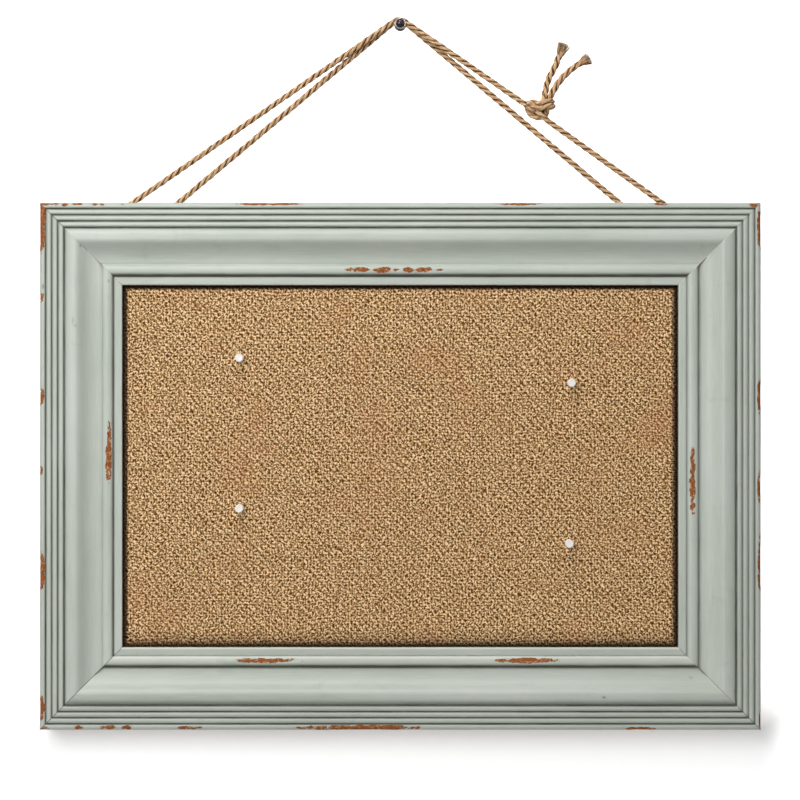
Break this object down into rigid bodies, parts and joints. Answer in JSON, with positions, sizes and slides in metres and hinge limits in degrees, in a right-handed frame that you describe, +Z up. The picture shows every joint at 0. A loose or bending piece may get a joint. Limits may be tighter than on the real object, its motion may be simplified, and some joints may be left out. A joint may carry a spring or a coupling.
{
  "type": "cork board",
  "caption": "Wall-hung pin board: burlap over cork in a reeded, mitred wooden picture frame, with push pins, carried on a nail by a tied twine loop.",
  "frame": {"origin": "on the nail's axis, in the plane of the wall", "axes": "+X to the right of someone facing the board, +Y into the wall, +Z up; the board faces -Y"},
  "size_m": [0.5776, 0.0699, 0.5747],
  "materials": {
    "painted_wood": "distressed satin sage grey paint over brown wood, chipped along the edges",
    "steel": "bright steel",
    "brass_plate": "brass plated steel",
    "burlap": "coarse plain weave jute",
    "cork": "granulated cork",
    "fibreboard": "pressed fibre, matt",
    "hardboard": "hardboard, screen pressed side out",
    "white_plastic": "glossy white",
    "rubber": "matt black",
    "nail_steel": "polished dark steel",
    "twine": "three-ply jute"
  },
  "bodies": {
    "nail": {"hanging_nail": "nail_steel"},
    "board": {"top_rail": "painted_wood", "right_rail": "painted_wood", "bottom_rail": "painted_wood", "left_rail": "painted_wood", "upper_left_outer_wedge": "steel", "upper_left_inner_wedge": "steel", "upper_right_outer_wedge": "steel", "upper_right_inner_wedge": "steel", "lower_left_outer_wedge": "steel", "lower_left_inner_wedge": "steel", "lower_right_outer_wedge": "steel", "lower_right_inner_wedge": "steel", "top_point_1": "steel", "top_point_2": "steel", "top_point_3": "steel", "right_point_1": "steel", "right_point_2": "steel", "bottom_point_1": "steel", "bottom_point_2": "steel", "bottom_point_3": "steel", "left_point_1": "steel", "left_point_2": "steel", "left_outer_screw_eye": "brass_plate", "left_inner_screw_eye": "brass_plate", "right_inner_screw_eye": "brass_plate", "right_outer_screw_eye": "brass_plate", "burlap_cover": "burlap", "cork_sheet": "cork", "fibreboard_core": "fibreboard", "hardboard_back": "hardboard", "top_staple_1": "steel", "top_staple_2": "steel", "top_staple_3": "steel", "right_staple_1": "steel", "right_staple_2": "steel", "bottom_staple_1": "steel", "bottom_staple_2": "steel", "bottom_staple_3": "steel", "left_staple_1": "steel", "left_staple_2": "steel", "left_bumper": "rubber", "right_bumper": "rubber", "twine_loop": "twine", "twine_upper_tail": "twine", "twine_lower_tail": "twine", "twine_knot": "twine"},
    "upper_left_pin": {"upper_left_pin_head": "white_plastic", "upper_left_pin_needle": "steel"},
    "upper_right_pin": {"upper_right_pin_head": "white_plastic", "upper_right_pin_needle": "steel"},
    "lower_left_pin": {"lower_left_pin_head": "white_plastic", "lower_left_pin_needle": "steel"},
    "lower_right_pin": {"lower_right_pin_head": "white_plastic", "lower_right_pin_needle": "steel"}
  },
  "joints": [
    {"name": "hang_swing", "type": "hinge", "parent": "nail", "child": "board", "pos_m": [0, 0, 0], "axis": [0, 1, 0], "range_deg": [-15, 15]},
    {"name": "upper_left_pin_pull", "type": "slide", "parent": "board", "child": "upper_left_pin", "axis": [0, -1, 0], "range_m": [0, 0.012]},
    {"name": "upper_right_pin_pull", "type": "slide", "parent": "board", "child": "upper_right_pin", "axis": [0, -1, 0], "range_m": [0, 0.012]},
    {"name": "lower_left_pin_pull", "type": "slide", "parent": "board", "child": "lower_left_pin", "axis": [0, -1, 0], "range_m": [0, 0.012]},
    {"name": "lower_right_pin_pull", "type": "slide", "parent": "board", "child": "lower_right_pin", "axis": [0, -1, 0], "range_m": [0, 0.012]}
  ]
}
